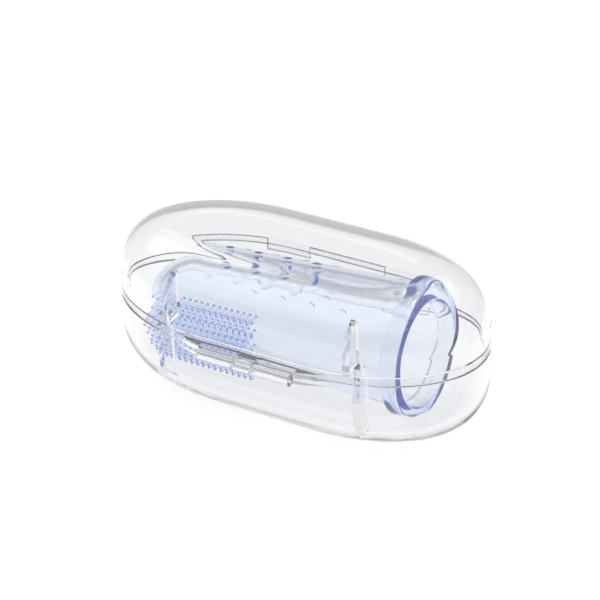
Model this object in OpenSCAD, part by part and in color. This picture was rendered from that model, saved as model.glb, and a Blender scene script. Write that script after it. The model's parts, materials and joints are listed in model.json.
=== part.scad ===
// Silicone finger toothbrush for babies in its clear hinged travel case.
// Frame: origin at the centre of the case's flat underside, X along the case,
// -Y towards the hinge, +Z up. All sizes are in millimetres.

/* [Case] */
// Length of the closed case
case_length = 72; // [64:1:84]
// Width of the case body, without the hinge
case_width = 36; // [35:0.5:42]
// Height of the base, from the table to the parting plane
base_height = 15.4; // [15:0.1:20]
// Height of the lid above the parting plane
lid_height = 13.8; // [13:0.1:18]
// Wall thickness of both shells
wall = 1.2; // [1.2:0.1:1.6]
// Thickness of the base's floor
floor_thickness = 1.5; // [1.4:0.1:2.2]
// Thickness of the lid's top
lid_top = 2.2; // [1.2:0.1:2.2]
// Half length of the straight part of each side
side_half = 10.5; // [8:0.5:12]
// Plan radius of each end
end_radius = 14.6; // [14:0.1:15.4]
// How far the base's rounded lower edge reaches in from the side
base_edge = 8.8; // [6:0.1:11]
// How high the base's rounded lower edge reaches up the side
base_edge_rise = 9.7; // [6:0.1:11]
// How far the lid's rounded upper edge reaches in from the side
lid_edge = 10.2; // [5:0.1:11]
// How low the lid's rounded upper edge reaches down the side
lid_edge_rise = 9; // [5:0.1:10]

/* [Rim, ribs and catches] */
// Height of the base's inner lip above the parting plane
lip_height = 1.4; // [1:0.1:2]
// Running gap between the lid and the base
rim_gap = 0.15; // [0.12:0.01:0.25]
// Distance of the lid's ribs from the middle
lid_rib_x = 17.9; // [16:0.1:18.5]
// Distance of the base's ribs from the middle
base_rib_x = 19.5; // [19.4:0.1:21]
// Thickness of a rib
rib_thickness = 1.3; // [1:0.1:1.3]
// How far a lid rib stands in from the wall
lid_rib_depth = 3.4; // [1.5:0.1:3.4]
// How far a base rib stands in from the wall
base_rib_depth = 3; // [1.5:0.1:3]
// How far a base rib stands up inside the lid
rib_rise = 2.6; // [1.5:0.1:4]
// Distance of each rear catch from the middle
catch_x = 12.2; // [10:0.1:14]
// Length of each rear catch
catch_length = 8.6; // [6:0.1:10]
// How far a catch reaches below the parting plane
catch_drop = 0.8; // [0.5:0.1:1.2]

/* [Hinge] */
// Distance of the hinge axis from the case's middle plane
hinge_reach = 20.5; // [20.2:0.1:22]
// Outer radius of the hinge knuckles
knuckle_radius = 1.1; // [1:0.05:1.3]
// Length over all the knuckles
hinge_length = 18.8; // [14:0.2:20]
// Length of the lid's middle knuckle
middle_knuckle = 3.6; // [3:0.1:5]
// Radius of the hinge pin
pin_radius = 0.5; // [0.4:0.05:0.6]
// Radial clearance of the pin in the lid's knuckle
pin_clearance = 0.05; // [0.02:0.01:0.1]
// Plan radius of the crescent flange that carries the hinge
flange_radius = 39; // [36:0.5:42]
// Thickness of the flange on each shell
flange_thickness = 1.1; // [0.9:0.05:1.3]

/* [Brush] */
// Length of the brush from the mouth to the tip of the dome
brush_length = 55.4; // [50:0.1:57]
// Outer radius of the sleeve at the collar
mouth_radius = 10.5; // [10:0.1:10.8]
// Outer radius of the sleeve at the dome
dome_radius = 9.3; // [8.5:0.1:9.8]
// Thickness of the silicone
skin = 1.2; // [1.1:0.1:1.4]
// Outer radius of the collar
collar_radius = 11.9; // [11.2:0.1:11.95]
// Length of the collar
collar_length = 3.5; // [2.5:0.1:5]
// Distance of the mouth from the case's middle
mouth_x = 24.5; // [22:0.1:24.6]
// How far the brush lies behind the middle of the case
brush_y = 1.1; // [0:0.1:1.1]
// Gap between the collar and the floor of the case
floor_gap = 0.3; // [0.3:0.05:1]
// Angle at which the brush lies, dome end down
brush_tilt = 2.4; // [0:0.1:3]

/* [Bristles] */
// Rows of bristles up the side of the sleeve
bristle_rows = 10; // [6:1:11]
// Bristles in each row
bristle_columns = 18; // [10:1:18]
// Distance between rows
row_pitch = 1.32; // [1.2:0.01:1.36]
// Distance between neighbours in a row
column_pitch = 1.28; // [1.1:0.01:1.3]
// Radius of one bristle
bristle_radius = 0.26; // [0.2:0.01:0.35]
// Length of a bristle outside the sleeve
bristle_length = 4.1; // [3:0.1:4.1]
// Distance of the first bristles from the mouth
bristle_start = 28.9; // [28.5:0.1:30]
// How far the middle of the rows lies below the middle of the sleeve
bristle_drop = 0.6; // [0:0.1:0.8]
// Thickness of the pad under the bristles
pad_thickness = 0.35; // [0.2:0.05:0.5]

/* [Massage nubs] */
// Rows of nubs on each side of the top of the sleeve
nub_side_rows = 4; // [1:1:4]
// Distance of the first nubs from the mouth
nub_start = 21.3; // [14:0.1:24]
// Nubs in each row along the sleeve
nubs_in_row = 4; // [2:1:4]
// Distance between neighbours in a row of nubs
nub_pitch = 6; // [5:0.1:7]
// Angle between rows of nubs
nub_step = 20.5; // [15:0.5:30]
// Radius of a nub where it meets the sleeve
nub_radius = 0.8; // [0.6:0.05:0.9]
// Height of a nub above the sleeve
nub_height = 0.2; // [0.15:0.05:0.35]

/* [Hidden] */
$fn = 96;

clear_plastic = [0.90, 0.93, 0.96, 0.35];
blue_silicone = [0.55, 0.68, 0.93, 0.75];
bristle_blue = [0.42, 0.52, 0.90];

half_length = case_length / 2;
half_width = case_width / 2;
case_height = base_height + lid_height;
// The side arc that joins a straight side to an end arc, tangent to both.
end_run = half_length - side_half;
shoulder_radius = (end_run * end_run + half_width * half_width - 2 * end_run * end_radius)
                  / (2 * (half_width - end_radius));
end_centre = half_length - end_radius;
shoulder_angle = atan2(end_centre - side_half, shoulder_radius - half_width);

lip_thickness = (wall - rim_gap) / 2;
seat_gap = 0.1;
hinge_y = -hinge_reach;
hinge_z = base_height;
knuckle_gap = 0.15;
side_knuckle = (hinge_length - middle_knuckle) / 2 - knuckle_gap;
flange_centre_y = flange_radius - hinge_reach - 0.3;
swing_clearance = 0.25;

taper = (mouth_radius - dome_radius) / (brush_length - dome_radius - collar_length);
mouth_z = floor_thickness + floor_gap + collar_radius;
bore_radius = mouth_radius - skin;
bore_bevel = 1.6;
bevel_width = 0.8;
field_height = (bristle_rows - 1) * row_pitch;
pad_margin = 0.9;
pad_angle = asin((field_height / 2 + pad_margin - bristle_drop) / dome_radius);
embed = 0.2;
dome_rows = 5.6;
dome_slope = 0.42;
nub_shift = 0.35;
nub_ball = (nub_radius * nub_radius + nub_height * nub_height) / (2 * nub_height);

// ---- Outline of the case -------------------------------------------------

// The outline is a run of arcs, each point held as [arc centre x, y, radius,
// angle], so that any inset of it is the same list with smaller radii.
side_steps = 6;
end_steps = 8;
edge_steps = 6;
quarter_arcs = concat(
    [for (k = [0:side_steps])
        [side_half, half_width - shoulder_radius, shoulder_radius, 90 - shoulder_angle * k / side_steps]],
    [for (k = [1:end_steps])
        [end_centre, 0, end_radius, (90 - shoulder_angle) * (1 - k / end_steps)]]);
last = len(quarter_arcs) - 1;

function arc_point(a, inset, sx, sy) =
    [sx * (a[0] + (a[2] - inset) * cos(a[3])), sy * (a[1] + (a[2] - inset) * sin(a[3]))];

function outline_points(inset) = concat(
    [for (k = [0:last]) arc_point(quarter_arcs[k], inset, 1, 1)],
    [for (k = [last - 1:-1:0]) arc_point(quarter_arcs[k], inset, 1, -1)],
    [for (k = [0:last]) arc_point(quarter_arcs[k], inset, -1, -1)],
    [for (k = [last - 1:-1:0]) arc_point(quarter_arcs[k], inset, -1, 1)]);

module outline(inset) { polygon(outline_points(inset)); }

// Distance of the outline from the long axis at a distance x from the middle.
function half_width_at(x) =
    half_width - shoulder_radius + sqrt(pow(shoulder_radius, 2) - pow(max(x - side_half, 0), 2));

// Rounded edge of a shell as [inset, z] pairs, from the flat face outwards: a
// quarter of an ellipse with its own reach across and rise up the side.
function edge_profile(inset, z, reach, rise) =
    [for (k = [0:edge_steps]) let (t = 90 * k / edge_steps)
        [inset + reach * (1 - sin(t)), z + rise * (1 - cos(t))]];

function reversed(list) = [for (k = [len(list) - 1:-1:0]) list[k]];

// A closed shell from a list of [inset, z] pairs, from the middle of its
// outer face, over the rim, to the middle of its inner face.
module shell(profile) {
    n = len(outline_points(0));
    rings = len(profile);
    polyhedron(
        points = [for (p = profile) each [for (q = outline_points(p[0])) [q[0], q[1], p[1]]]],
        faces = concat(
            [[for (i = [n - 1:-1:0]) i]],
            [for (j = [0:rings - 2], i = [0:n - 1]) let (k = (i + 1) % n)
                [j * n + i, j * n + k, (j + 1) * n + k, (j + 1) * n + i]],
            [[for (i = [0:n - 1]) (rings - 1) * n + i]]));
}

// Turns a shell upside down, so that its flat face is the top of the lid.
module lid_place() {
    translate([0, 0, case_height]) mirror([0, 0, 1]) children();
}

// Ring sector of the rim over each rear catch, grown by a gap at its ends.
module catch_sector(outer_inset, grow) {
    intersection() {
        difference() {
            outline(outer_inset);
            outline(wall);
        }
        for (side = [-1, 1])
            translate([side * catch_x - catch_length / 2 - grow, 0])
                square([catch_length + 2 * grow, case_width]);
    }
}

// ---- Case ----------------------------------------------------------------

// Crescent flange outside the front wall, one layer of it.
module flange() {
    linear_extrude(flange_thickness) intersection() {
        translate([0, flange_centre_y]) circle(flange_radius);
        translate([-case_length / 2, -case_width - half_width + wall / 2]) square([case_length, case_width]);
    }
}

// A length of knuckle or pin on the hinge axis, centred on x.
module on_hinge(x, length, r) {
    translate([x - length / 2, hinge_y, hinge_z]) rotate([0, 90, 0]) cylinder(h = length, r = r);
}

// Section through a rib: the inside of the front wall, from mid-wall inwards.
module rib_section(x, h, depth, reach, rise) {
    side = half_width_at(x) - wall / 2;
    intersection() {
        polygon(concat(
            [[0, 0]],
            [for (p = edge_profile(0, 0, reach, rise)) [side - p[0], p[1]]],
            [[side, h], [0, h]]));
        translate([side - wall / 2 - depth, 0]) square([depth + wall / 2, h]);
    }
}

// A pair of ribs on the front wall, standing on the flat face of a shell.
module rib_pair(x, h, depth, reach, rise) {
    half_wall = wall / 2;
    for (side = [-1, 1])
        translate([side * x - rib_thickness / 2, 0, half_wall]) mirror([0, 1, 0])
            rotate([90, 0, 90]) linear_extrude(rib_thickness)
                rib_section(x, h - half_wall, depth, reach - half_wall, rise - half_wall);
}

module case_base() color(clear_plastic) {
    rim = wall - lip_thickness;
    tongue_y = wall + rim_gap - half_width_at(base_rib_x + rib_thickness / 2);
    tongue_depth = 0.6 * base_rib_depth;
    profile = concat(
        edge_profile(0, 0, base_edge, base_edge_rise),
        [[0, base_height], [rim, base_height], [rim, base_height + lip_height],
         [wall, base_height + lip_height]],
        reversed(edge_profile(wall, floor_thickness, base_edge - wall,
                              base_edge_rise - floor_thickness)));
    difference() {
        union() {
            shell(profile);
            rib_pair(base_rib_x, base_height, base_rib_depth, base_edge, base_edge_rise);
            // The ribs' tongues, which stand up inside the lid
            for (side = [-1, 1])
                translate([side * base_rib_x - rib_thickness / 2, tongue_y, base_height - 1])
                    cube([rib_thickness, tongue_depth, rib_rise + 1]);
            translate([0, 0, base_height - flange_thickness]) flange();
            for (side = [-1, 1])
                on_hinge(side * (hinge_length - side_knuckle) / 2, side_knuckle, knuckle_radius);
        }
        on_hinge(0, hinge_length + 2, pin_radius);
        // Room for the lid's knuckle
        on_hinge(0, middle_knuckle + 2 * knuckle_gap, knuckle_radius + swing_clearance);
        translate([-middle_knuckle / 2 - knuckle_gap, hinge_y - knuckle_radius, hinge_z - 2 * knuckle_radius])
            cube([middle_knuckle + 2 * knuckle_gap, hinge_reach - half_width, 4 * knuckle_radius]);
        // Notches for the lid's catches
        translate([0, 0, base_height - catch_drop - seat_gap])
            linear_extrude(catch_drop + lip_height + 1) catch_sector(wall - lip_thickness - 0.05, rim_gap);
    }
}

module case_lid() color(clear_plastic) {
    rebate = wall - lip_thickness - rim_gap;
    rim_z = lid_height - seat_gap;
    profile = concat(
        edge_profile(0, 0, lid_edge, lid_edge_rise),
        [[0, rim_z], [rebate, rim_z], [rebate, rim_z - lip_height], [wall, rim_z - lip_height]],
        reversed(edge_profile(wall, lid_top, lid_edge - wall, lid_edge_rise - lid_top)));
    window_y = -half_width - 0.6;
    difference() {
        union() {
            lid_place() {
                shell(profile);
                rib_pair(lid_rib_x, rim_z - lip_height - 0.5, lid_rib_depth, lid_edge,
                         lid_edge_rise);
            }
            translate([0, 0, base_height + seat_gap]) flange();
            on_hinge(0, middle_knuckle, knuckle_radius);
            translate([0, 0, base_height - catch_drop])
                linear_extrude(catch_drop + lip_height + 2 * seat_gap + 0.5)
                    catch_sector(wall - lip_thickness, 0);
        }
        on_hinge(0, middle_knuckle + 2, pin_radius + pin_clearance);
        // Windows in the flange for the base's knuckles
        for (side = [-1, 1])
            translate([side * (hinge_length - side_knuckle) / 2 - side_knuckle / 2 - knuckle_gap,
                       window_y - case_width, base_height])
                cube([side_knuckle + 2 * knuckle_gap, case_width, 2 * flange_thickness]);
    }
}

// Smooth pin through all the knuckles, with a rounded end on each side.
module hinge_pin() color(clear_plastic) {
    on_hinge(0, hinge_length, pin_radius);
    for (side = [-1, 1])
        translate([side * hinge_length / 2, hinge_y, hinge_z]) sphere(pin_radius);
}

// ---- Brush ---------------------------------------------------------------

// The brush's own axis runs from the middle of its mouth towards the dome:
// z is along the sleeve, x is up and -y is the side with the bristles.
module brush_place() {
    translate([mouth_x, brush_y, mouth_z]) rotate([0, -90 - brush_tilt, 0]) children();
}

// Outer radius of the sleeve at a distance z from the mouth.
function sleeve_radius(z) = mouth_radius - taper * max(z - collar_length, 0);

// Solid of the sleeve's outside, made smaller all round by a depth.
module sleeve_solid(depth) {
    dome_z = brush_length - dome_radius;
    cylinder(h = collar_length, r = mouth_radius - depth);
    translate([0, 0, collar_length])
        cylinder(h = dome_z - collar_length, r1 = mouth_radius - depth, r2 = dome_radius - depth);
    translate([0, 0, dome_z]) sphere(dome_radius - depth);
}

module finger_sleeve() color(blue_silicone) brush_place() {
    difference() {
        sleeve_solid(0);
        sleeve_solid(skin);
        // Flared mouth
        translate([0, 0, -0.01]) cylinder(h = bore_bevel, r1 = bore_radius + bevel_width, r2 = bore_radius);
        translate([0, 0, -mouth_radius]) cylinder(h = mouth_radius, r = mouth_radius);
    }
}

module grip_collar() color(blue_silicone) brush_place() {
    chamfer = 0.5;
    rotate_extrude() polygon([
        [mouth_radius, 0], [collar_radius, 0], [collar_radius, collar_length - chamfer],
        [collar_radius - chamfer, collar_length], [mouth_radius, collar_length]]);
}

module bristle_pad() color(blue_silicone) brush_place() {
    dome_z = brush_length - dome_radius;
    reach = dome_z - bristle_start;
    intersection() {
        difference() {
            translate([0, 0, collar_length]) cylinder(h = dome_z - collar_length,
                r1 = mouth_radius + pad_thickness, r2 = dome_radius + pad_thickness);
            translate([0, 0, collar_length]) cylinder(h = dome_z - collar_length,
                r1 = mouth_radius, r2 = dome_radius);
        }
        translate([-field_height / 2 - pad_margin - bristle_drop, -case_width,
                   bristle_start - pad_margin])
            cube([field_height + 2 * pad_margin, case_width, reach + pad_margin - 0.01]);
    }
}

module bristles() color(bristle_blue) brush_place() {
    dome_z = brush_length - dome_radius;
    for (row = [0:bristle_rows - 1], column = [0:bristle_columns - 1]) {
        x = row * row_pitch - field_height / 2 - bristle_drop;
        z = bristle_start + (column + (1 - row % 2) / 2) * column_pitch;
        // How far in front of the axis the skin lies, on the dome as well
        root = sqrt(pow(sleeve_radius(min(z, dome_z)), 2) - pow(max(z - dome_z, 0), 2) - x * x);
        if (z < dome_z + dome_rows - dome_slope * abs(x))
            translate([x, embed - root, z]) rotate([90, 0, 0])
                cylinder(h = bristle_length + embed, r = bristle_radius);
    }
}

// One nub on the x axis: a low cap of a ball, on a short plug inside the skin.
module nub() {
    intersection() {
        translate([nub_height - nub_ball, 0, 0]) sphere(nub_ball);
        translate([-embed, 0, 0]) rotate([0, 90, 0]) cylinder(h = embed + nub_height, r = nub_radius);
    }
}

module massage_nubs() color(blue_silicone) brush_place() {
    // Rows go over the sleeve from beside the bristles to its back. Every second
    // row is shifted along the sleeve, and none of the nubs lies on the pad.
    for (row = [-3:nub_side_rows], k = [0:nubs_in_row - 1]) {
        angle = row * nub_step;
        z = nub_start + (k + abs(row % 2) * nub_shift) * nub_pitch;
        if (angle > pad_angle - 90 || z < bristle_start - pad_margin - nub_radius)
            rotate([0, 0, angle]) translate([sleeve_radius(z), 0, z]) nub();
    }
}

case_base();
case_lid();
hinge_pin();
finger_sleeve();
grip_collar();
bristle_pad();
bristles();
massage_nubs();
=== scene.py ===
# Finger toothbrush in its clear travel case: the visible mouldings, their
# materials, the studio and the camera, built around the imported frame.
# Lengths are in millimetres until mesh_object() turns them into metres.
import math
import json

import bmesh
import bpy
from mathutils import Matrix, Vector


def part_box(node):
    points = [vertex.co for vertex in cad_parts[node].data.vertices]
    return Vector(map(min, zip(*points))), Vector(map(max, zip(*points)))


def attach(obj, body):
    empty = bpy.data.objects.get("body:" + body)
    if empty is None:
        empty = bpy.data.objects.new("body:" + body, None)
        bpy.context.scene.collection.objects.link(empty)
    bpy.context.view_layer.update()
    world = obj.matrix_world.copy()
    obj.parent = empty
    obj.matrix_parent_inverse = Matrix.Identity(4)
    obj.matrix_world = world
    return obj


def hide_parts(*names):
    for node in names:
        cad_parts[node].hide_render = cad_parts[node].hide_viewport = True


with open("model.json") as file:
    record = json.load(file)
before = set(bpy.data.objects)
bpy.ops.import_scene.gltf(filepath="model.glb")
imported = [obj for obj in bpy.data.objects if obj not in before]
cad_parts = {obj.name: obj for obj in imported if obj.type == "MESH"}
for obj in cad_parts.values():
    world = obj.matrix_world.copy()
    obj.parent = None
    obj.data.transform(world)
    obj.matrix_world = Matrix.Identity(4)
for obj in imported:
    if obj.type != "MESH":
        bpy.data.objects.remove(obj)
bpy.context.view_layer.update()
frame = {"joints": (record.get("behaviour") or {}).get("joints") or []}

MM = 0.001
LID = "lid"
BASE = "base"
BRUSH = "brush"

# ---- Sizes, from the frame where it has them ------------------------------

lid_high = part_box("case_lid")[1] / MM
pin_low, pin_high = (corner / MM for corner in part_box("hinge_pin"))
hinge = next(joint for joint in frame["joints"] if joint["name"] == "lid_hinge")
hinge_y, parting = hinge["pos_m"][1] / MM, hinge["pos_m"][2] / MM

half_length = lid_high.x
half_width = lid_high.y
case_height = lid_high.z
lid_height = case_height - parting
side_half = 10.5  # half of each straight side
wall = 1.2
floor_thickness = 1.5
lid_top = 2.2  # thicker than the walls, which bends the view through the lid's edge
# How far each rounded edge reaches in across the flat face and up the side
base_edge, base_edge_rise = 8.8, 9.7
lid_edge, lid_edge_rise = 10.2, 9.0
lip_height = 1.4
rim_gap = 0.15
seat_gap = 0.1
lip_thickness = (wall - rim_gap) / 2
corner_radius = 0.12  # the small rounding of every moulded rim
sharp_corner = 40  # degrees of turn above which a corner gets that rounding
face_step = 0.6  # the cap of a flat face starts this far in from its rounded edge
hair = 0.02  # keeps two faces from lying in one plane

lid_rib_x, base_rib_x = 17.9, 19.5
rib_thickness, rib_rise = 1.3, 2.6
lid_rib_depth, base_rib_depth = 3.4, 3.0
lid_rib_short, base_rib_short = 0.5, 0.4  # how far they end short of the lip and the parting
tongue_share, tongue_root = 0.6, 1.2  # of the rib's depth; below the parting
catch_x, catch_length, catch_drop, catch_root = 12.2, 8.6, 0.8, 0.5

knuckle_radius, knuckle_edge = 1.1, 0.15
knuckle_room = 0.25  # what the base leaves free round the lid's knuckle
hinge_length = 18.8
middle_knuckle = 3.6
knuckle_gap = 0.15
side_knuckle = (hinge_length - middle_knuckle) / 2 - knuckle_gap
pin_radius = (pin_high.z - pin_low.z) / 2
pin_play = 0.04  # the visible pin is this much slimmer than its bores
flange_radius = 39.0
flange_thickness = 1.1
flange_beyond = 0.3  # how far the flange reaches in front of the hinge axis
flange_centre_y = flange_radius + hinge_y - flange_beyond

brush_length = 55.4
mouth_radius, dome_radius = 10.5, 9.3
skin = 1.2
collar_radius, collar_length, collar_chamfer = 11.9, 3.5, 0.5
collar_lift = 0.3  # the collar's height above the case's floor
mouth = Vector((24.5, 1.1, floor_thickness + collar_lift + collar_radius))
brush_tilt = 2.4
dome_z = brush_length - dome_radius
taper = (mouth_radius - dome_radius) / (dome_z - collar_length)

bristle_rows, bristle_columns = 10, 18
row_pitch, column_pitch, bristle_drop = 1.32, 1.28, 0.6
bristle_radius, bristle_length, bristle_start = 0.26, 4.1, 28.9
bristle_root = 0.12  # from the sleeve's surface, so inside the pad
dome_rows, dome_slope = 5.6, 0.42
field_height = (bristle_rows - 1) * row_pitch
pad_thickness, pad_margin, pad_edge = 0.35, 0.9, 0.25
nub_rows, nubs_in_row = range(-3, 5), 4  # row 0 lies on top of the sleeve
nub_step, nub_start, nub_pitch, nub_shift = 20.5, 21.3, 6.0, 0.35
nub_radius, nub_height = 0.8, 0.2
nub_ball = (nub_radius**2 + nub_height**2) / (2 * nub_height)
nub_root = 0.08  # how deep a nub sinks into the sleeve
nub_limit = -48  # degrees; nubs further round give way to the bristles' pad


# ---- Mesh helpers ---------------------------------------------------------


def mesh_object(name, verts, faces, matrix=None):
    """A mesh object from points in millimetres, with its place baked in."""
    mesh = bpy.data.meshes.new(name)
    mesh.from_pydata([tuple(Vector(v)) for v in verts], [], faces)
    if matrix is not None:
        mesh.transform(matrix)
    mesh.transform(Matrix.Scale(MM, 4))
    work = bmesh.new()
    work.from_mesh(mesh)
    bmesh.ops.recalc_face_normals(work, faces=work.faces)
    work.to_mesh(mesh)
    work.free()
    made = bpy.data.objects.new(name, mesh)
    bpy.context.scene.collection.objects.link(made)
    return made


def circle(steps):
    """Angles all round, in radians."""
    return [2 * math.pi * i / steps for i in range(steps)]


def quarter(steps):
    """Angles from 0 to 90 degrees, in radians, with both ends."""
    return [math.radians(90 * k / steps) for k in range(steps + 1)]


def add_solid(verts, faces, rings):
    """Add a closed solid, made of rings of points with a flat face at each end."""
    first, count = len(verts), len(rings[0])
    faces.append([first + i for i in range(count - 1, -1, -1)])
    for j in range(len(rings) - 1):
        low, high = first + j * count, first + (j + 1) * count
        for i in range(count):
            k = (i + 1) % count
            faces.append([low + i, low + k, high + k, high + i])
    verts.extend(point for ring in rings for point in ring)
    faces.append([len(verts) - count + i for i in range(count)])


def rings_to_mesh(name, rings, matrix=None):
    verts, faces = [], []
    add_solid(verts, faces, rings)
    return mesh_object(name, verts, faces, matrix)


def prism(name, outline, low, high):
    """An outline of (x, y) points, raised from low to high."""
    return rings_to_mesh(name, [[(x, y, z) for x, y in outline] for z in (low, high)])


def cuboid(name, low, high):
    """A block between two opposite corners."""
    outline = [(low[0], low[1]), (high[0], low[1]), (high[0], high[1]), (low[0], high[1])]
    return prism(name, outline, low[2], high[2])


def turned(name, x, end, steps):
    """A solid turned about the hinge axis, the same on both sides of x. Its end is
    (radius, distance from x) pairs, towards the axis."""
    rings = []
    for r, along in [(r, -along) for r, along in reversed(end)] + end:
        rings.append([(x + along, hinge_y + r * math.cos(a), parting + r * math.sin(a))
                      for a in circle(steps)])
    return rings_to_mesh(name, rings)


def rod(name, x, length, radius, edge=0.0):
    """A round rod on the hinge axis, centred on x, with its end edges rounded."""
    end = [(radius - edge * (1 - math.cos(t)), length / 2 - edge * (1 - math.sin(t)))
           for t in (quarter(4) if edge else [0])]
    return turned(name, x, end, 48)


def combine(target, operation, tools):
    """Boolean of the target with each tool in turn; the tools are used up."""
    for tool in tools:
        step = target.modifiers.new(operation, "BOOLEAN")
        step.operation = operation
        step.solver = "EXACT"
        step.object = tool
        depsgraph = bpy.context.evaluated_depsgraph_get()
        made = bpy.data.meshes.new_from_object(target.evaluated_get(depsgraph))
        target.modifiers.clear()
        target.data = made
        bpy.data.objects.remove(tool)
    return target


def finish_surface(piece, sharp_degrees=28):
    """Smooth shading with sharp edges kept, and normals led by the large faces."""
    piece.data.shade_smooth()
    piece.data.set_sharp_from_angle(angle=math.radians(sharp_degrees))
    weighted = piece.modifiers.new("normals", "WEIGHTED_NORMAL")
    weighted.keep_sharp = True
    return piece


# ---- Outline and shells of the case ---------------------------------------

END_STEPS = 44  # of each quarter of an end
EDGE_STEPS = 16  # of each rounded edge


def outline(inset):
    """The case's outline seen from above, all round, moved inwards by an inset:
    straight sides joined by half ellipses."""
    points = []
    a, b = half_length - side_half, half_width
    for corner in range(4):
        shift = side_half if corner in (0, 3) else -side_half
        if corner in (1, 3):  # the straight side that leads to this end
            side = 1 if corner == 1 else -1
            points.append((side * side_half, side * (half_width - inset)))
        for k in range(END_STEPS):
            t = math.pi / 2 * (corner + k / END_STEPS)
            along, across = math.cos(t), math.sin(t)
            normal = Vector((b * along, a * across)).normalized()
            points.append((shift + a * along - inset * normal.x, b * across - inset * normal.y))
    return points


def half_width_at(x):
    """Distance of the outline from the long axis at x."""
    over = max(abs(x) - side_half, 0) / (half_length - side_half)
    return half_width * math.sqrt(1 - over * over)


def edge_profile(inset, z, reach, rise):
    """[inset, z] pairs from the flat face outwards over its rounded edge, which is
    a quarter of an ellipse."""
    return [(inset + reach + face_step, z)] + [
        (inset + reach * (1 - math.sin(t)), z + rise * (1 - math.cos(t)))
        for t in quarter(EDGE_STEPS)
    ]


def softened(profile, radius=corner_radius, steps=3):
    """The profile with each sharp corner replaced by a small arc."""
    points = [Vector(p) for p in profile]
    made = [points[0]]
    for before, corner, after in zip(points, points[1:], points[2:]):
        first, second = (before - corner).normalized(), (after - corner).normalized()
        angle = first.angle(second)
        if angle > math.radians(180 - sharp_corner):
            made.append(corner)
            continue
        cut = radius / math.tan(angle / 2)
        start, end = corner + first * cut, corner + second * cut
        centre = corner + (first + second).normalized() * (radius / math.sin(angle / 2))
        for k in range(steps + 1):
            spoke = (start - centre).lerp(end - centre, k / steps).normalized()
            made.append(centre + spoke * radius)
    return made + [points[-1]]


def shell(name, profile, flip=False):
    """A shell from (inset, z) pairs; flipped, z is measured down from the top."""
    rings = []
    for inset, z in softened(profile):
        rings.append([(x, y, case_height - z if flip else z) for x, y in outline(inset)])
    return rings_to_mesh(name, rings)


def flange_slab(name, low, high):
    """One layer of the crescent outside the front wall, with its root in the wall."""
    reach = math.sqrt(flange_radius**2 - (flange_centre_y + half_width) ** 2)
    half_angle = math.asin(reach / flange_radius) + 0.02  # a little past the wall
    steps = 60
    rim = []
    for k in range(steps + 1):
        a = half_angle * (2 * k / steps - 1)
        rim.append((flange_radius * math.sin(a), flange_centre_y - flange_radius * math.cos(a)))
    far_x, inner = rim[-1][0], wall / 2 - half_width
    return prism(name, rim + [(far_x, inner), (-far_x, inner)], low, high)


def rib(name, x, height, reach, rise, depth, flip):
    """A fin on the inside of the front wall. Its outer side runs inside the wall,
    over the rounded edge, and its inner side is upright."""
    half_wall = wall / 2
    side_y = half_width_at(x) - half_wall
    inner = side_y - half_wall - depth
    curve = [(side_y - inset, half_wall + z)
             for inset, z in edge_profile(0, 0, reach - half_wall, rise - half_wall)]
    side = [point for point in curve if point[0] > inner]
    side = [(inner, side[0][1] - hair)] + side + [(side_y, height), (inner, height)]
    rings = []
    for face in (-1, 1):
        ring = []
        for across, z in side:
            ring.append((x + face * rib_thickness / 2, -across, case_height - z if flip else z))
        rings.append(ring)
    return rings_to_mesh(name, rings)


def catch_block(name, side, low, high, outer_inset, inner_inset, grow):
    """A length of the back rim, following its outline, grown at both ends."""
    left = side * catch_x - catch_length / 2 - grow
    right = side * catch_x + catch_length / 2 + grow
    steps = 16
    xs = [left + (right - left) * k / steps for k in range(steps + 1)]
    outer = [(x, half_width_at(x) - outer_inset) for x in xs]
    inner = [(x, half_width_at(x) - inner_inset) for x in reversed(xs)]
    return prism(name, outer + inner, low, high)


# ---- The case's mouldings -------------------------------------------------


def make_base():
    rim = wall - lip_thickness
    profile = edge_profile(0, 0, base_edge, base_edge_rise)
    profile += [(0, parting), (rim, parting), (rim, parting + lip_height),
                (wall, parting + lip_height)]
    profile += reversed(edge_profile(wall, floor_thickness, base_edge - wall,
                                     base_edge_rise - floor_thickness))
    base = shell("case_base_clear", profile)
    added = []
    for side in (-1, 1):
        x = side * base_rib_x
        added.append(rib("rib", x, parting - base_rib_short, base_edge, base_edge_rise,
                         base_rib_depth, False))
        half_tongue = rib_thickness / 2 - hair
        tongue_y = wall + rim_gap - half_width_at(base_rib_x + rib_thickness / 2)
        added.append(cuboid("tongue", (x - half_tongue, tongue_y, parting - tongue_root),
                            (x + half_tongue, tongue_y + tongue_share * base_rib_depth,
                             parting + rib_rise)))
        knuckle_x = side * (hinge_length - side_knuckle) / 2
        added.append(rod("knuckle", knuckle_x, side_knuckle, knuckle_radius, knuckle_edge))
    added.append(flange_slab("flange", parting - flange_thickness, parting - 0.001))
    combine(base, "UNION", added)
    gap = middle_knuckle / 2 + knuckle_gap
    cut = [
        rod("bore", 0, hinge_length + 2, pin_radius),
        rod("room", 0, 2 * gap, knuckle_radius + knuckle_room),
        cuboid("room", (-gap, hinge_y - knuckle_radius - 0.5, parting - 2 * knuckle_radius),
               (gap, -half_width - 0.9, parting + 2 * knuckle_radius)),
    ]
    for side in (-1, 1):
        cut.append(catch_block("notch", side, parting - catch_drop - seat_gap,
                               parting + lip_height + 1, rim - 0.05, wall + 0.5, rim_gap))
    return combine(base, "DIFFERENCE", cut)


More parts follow.
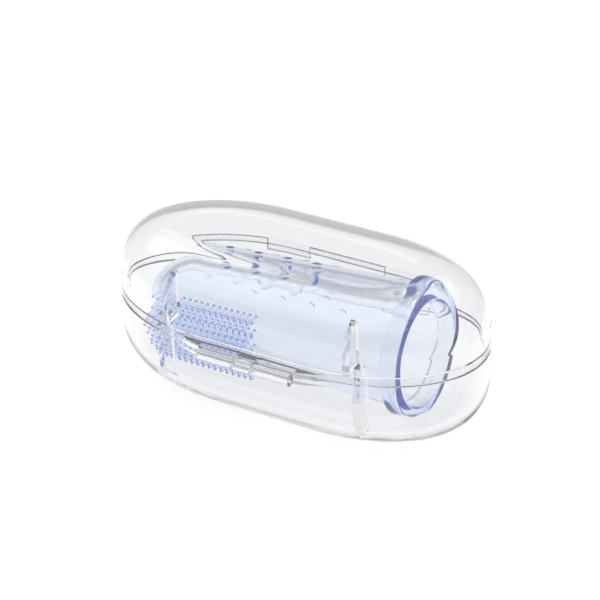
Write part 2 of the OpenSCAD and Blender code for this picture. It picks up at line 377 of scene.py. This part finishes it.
def make_lid():
    rebate = wall - lip_thickness - rim_gap
    rim_z = lid_height - seat_gap
    profile = edge_profile(0, 0, lid_edge, lid_edge_rise)
    profile += [(0, rim_z), (rebate, rim_z), (rebate, rim_z - lip_height),
                (wall, rim_z - lip_height)]
    profile += reversed(edge_profile(wall, lid_top, lid_edge - wall, lid_edge_rise - lid_top))
    lid = shell("case_lid_clear", profile, flip=True)
    added = []
    for side in (-1, 1):
        added.append(rib("rib", side * lid_rib_x, rim_z - lip_height - lid_rib_short, lid_edge,
                         lid_edge_rise, lid_rib_depth, True))
        added.append(catch_block("catch", side, parting - catch_drop,
                                 parting + lip_height + 2 * seat_gap + catch_root,
                                 wall - lip_thickness, wall - 0.01, 0))
    added.append(rod("knuckle", 0, middle_knuckle, knuckle_radius, knuckle_edge))
    added.append(flange_slab("flange", parting + seat_gap, parting + seat_gap + flange_thickness))
    combine(lid, "UNION", added)
    cut = [rod("bore", 0, middle_knuckle + 2, pin_radius + 0.05)]
    for side in (-1, 1):
        middle = side * (hinge_length - side_knuckle) / 2
        reach = side_knuckle / 2 + knuckle_gap
        cut.append(cuboid("window", (middle - reach, hinge_y - 5, parting - 0.5),
                          (middle + reach, -half_width - 0.6, parting + 2 * flange_thickness)))
    return combine(lid, "DIFFERENCE", cut)


def make_pin():
    """The pin, with domed ends."""
    radius = pin_radius - pin_play
    end = [(radius * math.cos(t), hinge_length / 2 + radius * math.sin(t)) for t in quarter(8)[:-1]]
    return turned("hinge_pin_clear", 0, end, 32)


# ---- The brush ------------------------------------------------------------

brush_place = Matrix.Translation(mouth) @ Matrix.Rotation(math.radians(-90 - brush_tilt), 4, "Y")


def sleeve_radius(z):
    """The sleeve's outer radius at a distance from the mouth, short of the dome."""
    return mouth_radius - taper * max(z - collar_length, 0)


def smooth_step(low, high, value):
    """0 at low, 1 at high and a smooth change between, whichever is the larger."""
    t = min(max((value - low) / (high - low), 0), 1)
    return t * t * (3 - 2 * t)


def pad_height(angle, z):
    """Thickness of the pad at an angle from the top and a distance from the mouth."""
    x = sleeve_radius(z) * math.cos(angle)
    if math.sin(angle) > 0:
        return 0
    half = field_height / 2 + pad_margin
    start = bristle_start - pad_margin
    sides = smooth_step(half + pad_edge, half, abs(x + bristle_drop))
    ends = smooth_step(start - pad_edge, start, z) * smooth_step(dome_z + 2, dome_z - 1, z)
    return pad_thickness * sides * ends


def sleeve_profile():
    """(radius, z, bumpy) from the tip of the dome, along the outside, over the
    collar, round the mouth and along the inside to the inner tip."""
    points = []
    dome = quarter(24)[1:]
    for t in dome:
        points.append((dome_radius * math.sin(t), dome_z + dome_radius * math.cos(t), True))
    collar_end, steps = collar_length + 0.5, 90
    for k in range(1, steps):
        z = dome_z + (collar_end - dome_z) * k / steps
        points.append((sleeve_radius(z), z, True))
    bore = mouth_radius - skin
    bore_end = 6  # the bore is straight up to here, with a flared mouth
    rim = [
        (sleeve_radius(collar_end), collar_end), (mouth_radius, collar_length),
        (collar_radius - collar_chamfer, collar_length),
        (collar_radius, collar_length - collar_chamfer), (collar_radius, 0),
        (bore + 0.8, 0), (bore, 1.6), (bore, bore_end),
    ]
    for point in softened(rim, 0.16, 4)[1:]:
        points.append((point[0], point[1], False))
    steps = 40
    for k in range(1, steps + 1):
        z = bore_end + (dome_z - bore_end) * k / steps
        points.append((sleeve_radius(z) - skin, z, False))
    inner = dome_radius - skin
    for t in reversed(dome[:-1]):
        points.append((inner * math.sin(t), dome_z + inner * math.cos(t), False))
    return points


def make_sleeve():
    rings = []
    for radius, z, bumpy in sleeve_profile():
        ring = []
        for a in circle(192):
            r = radius + (pad_height(a, z) if bumpy else 0)
            ring.append((r * math.cos(a), r * math.sin(a), z))
        rings.append(ring)
    return rings_to_mesh("finger_sleeve_silicone", rings, brush_place)


def surface_depth(x, z):
    """How far the sleeve's surface lies to the front of its axis at x and z."""
    over = max(z - dome_z, 0)
    return math.sqrt(sleeve_radius(min(z, dome_z)) ** 2 - over * over - x * x)


def make_bristles():
    """Every bristle is a rod with a domed tip, its root inside the pad."""
    verts, faces = [], []
    cap = 4
    for row in range(bristle_rows):
        for column in range(bristle_columns):
            x = row * row_pitch - field_height / 2 - bristle_drop
            z = bristle_start + (column + (1 - row % 2) / 2) * column_pitch
            if z >= dome_z + dome_rows - dome_slope * abs(x):
                continue
            surface = surface_depth(x, z)
            inner, outer = surface + bristle_root, surface + bristle_length
            profile = [(bristle_radius, inner), (bristle_radius * 0.98, inner + 0.5)]
            for k in range(cap + 1):
                t = math.radians(90 * k / (cap + 0.6))
                profile.append((bristle_radius * math.cos(t),
                                outer - bristle_radius + bristle_radius * math.sin(t)))
            add_solid(verts, faces, [
                [(x + r * math.cos(a), -y, z + r * math.sin(a)) for a in circle(14)]
                for r, y in profile
            ])
    return mesh_object("bristles_silicone", verts, faces, brush_place)


def make_nubs():
    """Low domes on the sleeve, in rows shifted by turns."""
    verts, faces = [], []
    cap = 8
    dip = nub_ball - nub_height
    spread = math.acos((dip - nub_root) / nub_ball)
    for row in nub_rows:
        for k in range(nubs_in_row):
            angle = math.radians(row * nub_step)
            z = nub_start + (k + abs(row % 2) * nub_shift) * nub_pitch
            if row * nub_step < nub_limit and z > bristle_start - pad_margin - nub_radius:
                continue
            centre = sleeve_radius(z) - dip
            outward = Vector((math.cos(angle), math.sin(angle), 0))
            round_about = Vector((-math.sin(angle), math.cos(angle), 0))
            rings = []
            for j in range(cap):
                t = spread * (1 - j / cap)
                middle = outward * (centre + nub_ball * math.cos(t)) + Vector((0, 0, z))
                rings.append([
                    middle + (round_about * math.cos(a) + Vector((0, 0, math.sin(a))))
                    * nub_ball * math.sin(t) for a in circle(24)
                ])
            add_solid(verts, faces, rings)
    return mesh_object("nubs", verts, faces, brush_place)


# ---- Materials ------------------------------------------------------------


def new_material(name):
    """A material with its nodes, links and shader."""
    material = bpy.data.materials.new(name)
    material.use_nodes = True
    nodes = material.node_tree.nodes
    return material, nodes, material.node_tree.links, nodes["Principled BSDF"]


def fine_noise(nodes, links, scale, detail=3.0):
    """Noise in the object's own coordinates, for marks that stay on the surface."""
    place = nodes.new("ShaderNodeTexCoord")
    noise = nodes.new("ShaderNodeTexNoise")
    noise.inputs["Scale"].default_value = scale
    noise.inputs["Detail"].default_value = detail
    links.new(place.outputs["Object"], noise.inputs["Vector"])
    return noise


def remap(nodes, links, source, low, high):
    """The source's 0 to 1, spread from low to high."""
    ramp = nodes.new("ShaderNodeMapRange")
    ramp.inputs["To Min"].default_value = low
    ramp.inputs["To Max"].default_value = high
    links.new(source, ramp.inputs["Value"])
    return ramp.outputs["Result"]


def absorption(nodes, links, colour, density):
    """Colour that light takes on its way through the thickness of a material."""
    absorb = nodes.new("ShaderNodeVolumeAbsorption")
    absorb.inputs["Color"].default_value = (*colour, 1)
    absorb.inputs["Density"].default_value = density
    links.new(absorb.outputs["Volume"], nodes["Material Output"].inputs["Volume"])


def clear_plastic():
    """Crystal styrene: clear, glossy, with faint flow marks from the mould."""
    material, nodes, links, shader = new_material("clear_styrene")
    shader.inputs["Base Color"].default_value = (0.958, 0.958, 0.963, 1)
    shader.inputs["Transmission Weight"].default_value = 1.0
    shader.inputs["IOR"].default_value = 1.5
    shader.inputs["Roughness"].default_value = 0.0
    absorption(nodes, links, (0.5, 0.5, 0.51), 24)
    flow = fine_noise(nodes, links, 60)
    bump = nodes.new("ShaderNodeBump")
    bump.inputs["Strength"].default_value = 0.02
    bump.inputs["Distance"].default_value = 0.0002
    links.new(flow.outputs["Fac"], bump.inputs["Height"])
    links.new(bump.outputs["Normal"], shader.inputs["Normal"])
    return material


def silicone(name, colour, body_colour, density, roughness):
    """Translucent silicone: tinted through its thickness, with a soft skin."""
    material, nodes, links, shader = new_material(name)
    shader.inputs["Base Color"].default_value = (*colour, 1)
    shader.inputs["Transmission Weight"].default_value = 1.0
    shader.inputs["IOR"].default_value = 1.38
    marks = fine_noise(nodes, links, 900)
    links.new(remap(nodes, links, marks.outputs["Fac"], roughness * 0.7, roughness * 1.3),
              shader.inputs["Roughness"])
    absorption(nodes, links, body_colour, density)
    return material


# ---- Assembly -------------------------------------------------------------


def place(piece, body, slot, material, *nodes):
    """Give a piece its material, its body and the CAD nodes that it replaces."""
    piece.data.materials.clear()
    piece.data.materials.append(material)
    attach(piece, body)
    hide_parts(*nodes)


clear = clear_plastic()
sleeve_blue = silicone("blue_silicone", (0.945, 0.957, 0.985), (0.06, 0.4, 0.92), 40, 0.05)
bristle_blue = silicone("bristle_silicone", (0.94, 0.955, 1.0), (0.15, 0.38, 0.97), 260, 0.06)

place(finish_surface(make_base()), BASE, "clear_case", clear, "case_base")
place(finish_surface(make_lid()), LID, "clear_case", clear, "case_lid")
place(finish_surface(make_pin(), 60), BASE, "clear_case", clear, "hinge_pin")
sleeve = combine(make_sleeve(), "UNION", [make_nubs()])
place(finish_surface(sleeve, 40), BRUSH, "blue_silicone", sleeve_blue,
      "finger_sleeve", "grip_collar", "bristle_pad", "massage_nubs")
place(finish_surface(make_bristles(), 60), BRUSH, "bristle_silicone", bristle_blue, "bristles")


# ---- Studio ---------------------------------------------------------------


def make_floor():
    """Pale paper, which glows a little as if lit evenly from all sides."""
    size = 4.0
    mesh = bpy.data.meshes.new("studio_floor")
    corners = [(-size, -size, 0), (size, -size, 0), (size, size, 0), (-size, size, 0)]
    mesh.from_pydata(corners, [], [(0, 1, 2, 3)])
    floor = bpy.data.objects.new("studio_floor", mesh)
    bpy.context.scene.collection.objects.link(floor)
    floor.location.z = -0.0001
    material, _, _, shader = new_material("studio_paper")
    shader.inputs["Base Color"].default_value = (0.3, 0.3, 0.3, 1)
    shader.inputs["Roughness"].default_value = 0.9
    shader.inputs["Specular IOR Level"].default_value = 0.0
    shader.inputs["Emission Color"].default_value = (1.0, 1.0, 1.0, 1)
    shader.inputs["Emission Strength"].default_value = 0.85
    mesh.materials.append(material)


def make_world():
    """A light grey room, a little darker overhead than round the horizon."""
    world = bpy.data.worlds.new("studio")
    bpy.context.scene.world = world
    world.use_nodes = True
    nodes, links = world.node_tree.nodes, world.node_tree.links
    background = nodes["Background"]
    place_node = nodes.new("ShaderNodeTexCoord")
    split = nodes.new("ShaderNodeSeparateXYZ")
    links.new(place_node.outputs["Generated"], split.inputs["Vector"])
    ramp = nodes.new("ShaderNodeValToRGB")
    links.new(split.outputs["Z"], ramp.inputs["Fac"])
    horizon, overhead = ramp.color_ramp.elements
    horizon.color = (0.66, 0.66, 0.67, 1)
    overhead.color = (0.5, 0.5, 0.51, 1)
    ramp.color_ramp.elements.new(0.35).color = (0.55, 0.55, 0.56, 1)
    links.new(ramp.outputs["Color"], background.inputs["Color"])
    background.inputs["Strength"].default_value = 1.0


def softbox(name, location, size, power):
    """A rectangular lamp that faces the object."""
    data = bpy.data.lights.new(name, "AREA")
    data.shape = "RECTANGLE"
    data.size, data.size_y = size
    data.energy = power
    lamp = bpy.data.objects.new(name, data)
    bpy.context.scene.collection.objects.link(lamp)
    lamp.location = location
    lamp.rotation_mode = "QUATERNION"
    lamp.rotation_quaternion = (-Vector(location)).to_track_quat("-Z", "Y")


def make_camera():
    """The photographed view: round from the front, up from level, and a slight roll."""
    azimuth, elevation, roll = (math.radians(v) for v in (30.53, 30.81, -1.61))
    distance = 429.65 * MM
    offset_right, offset_up = 0.355 * MM, -2.225 * MM
    right = Vector((math.cos(azimuth), math.sin(azimuth), 0))
    back = Vector((math.sin(azimuth) * math.cos(elevation),
                   -math.cos(azimuth) * math.cos(elevation), math.sin(elevation)))
    up = back.cross(right)
    rolled_right = right * math.cos(roll) + up * math.sin(roll)
    rolled_up = up * math.cos(roll) - right * math.sin(roll)
    target = Vector((0, 0, parting * MM)) - rolled_right * offset_right - rolled_up * offset_up
    data = bpy.data.cameras.new("photo_camera")
    data.sensor_width = 36
    data.lens = 144.44
    data.clip_start, data.clip_end = 0.01, 20
    camera = bpy.data.objects.new("photo_camera", data)
    bpy.context.scene.collection.objects.link(camera)
    turn = Matrix((rolled_right, rolled_up, back)).transposed()
    camera.matrix_world = Matrix.Translation(target + back * distance) @ turn.to_4x4()
    bpy.context.scene.camera = camera


make_floor()
make_world()
softbox("overhead_softbox", (-0.3, 0.3, 1.4), (2.4, 2.4), 15.0)
make_camera()

scene = bpy.context.scene
scene.view_settings.view_transform = "Standard"
# Light that is held inside a clear wall bounces many times; a low limit turns it black
scene.cycles.max_bounces = scene.cycles.transmission_bounces = scene.cycles.glossy_bounces = 48
scene.cycles.diffuse_bounces = 3
scene.cycles.caustics_refractive = True
scene.cycles.caustics_reflective = False
scene.cycles.blur_glossy = 0.3
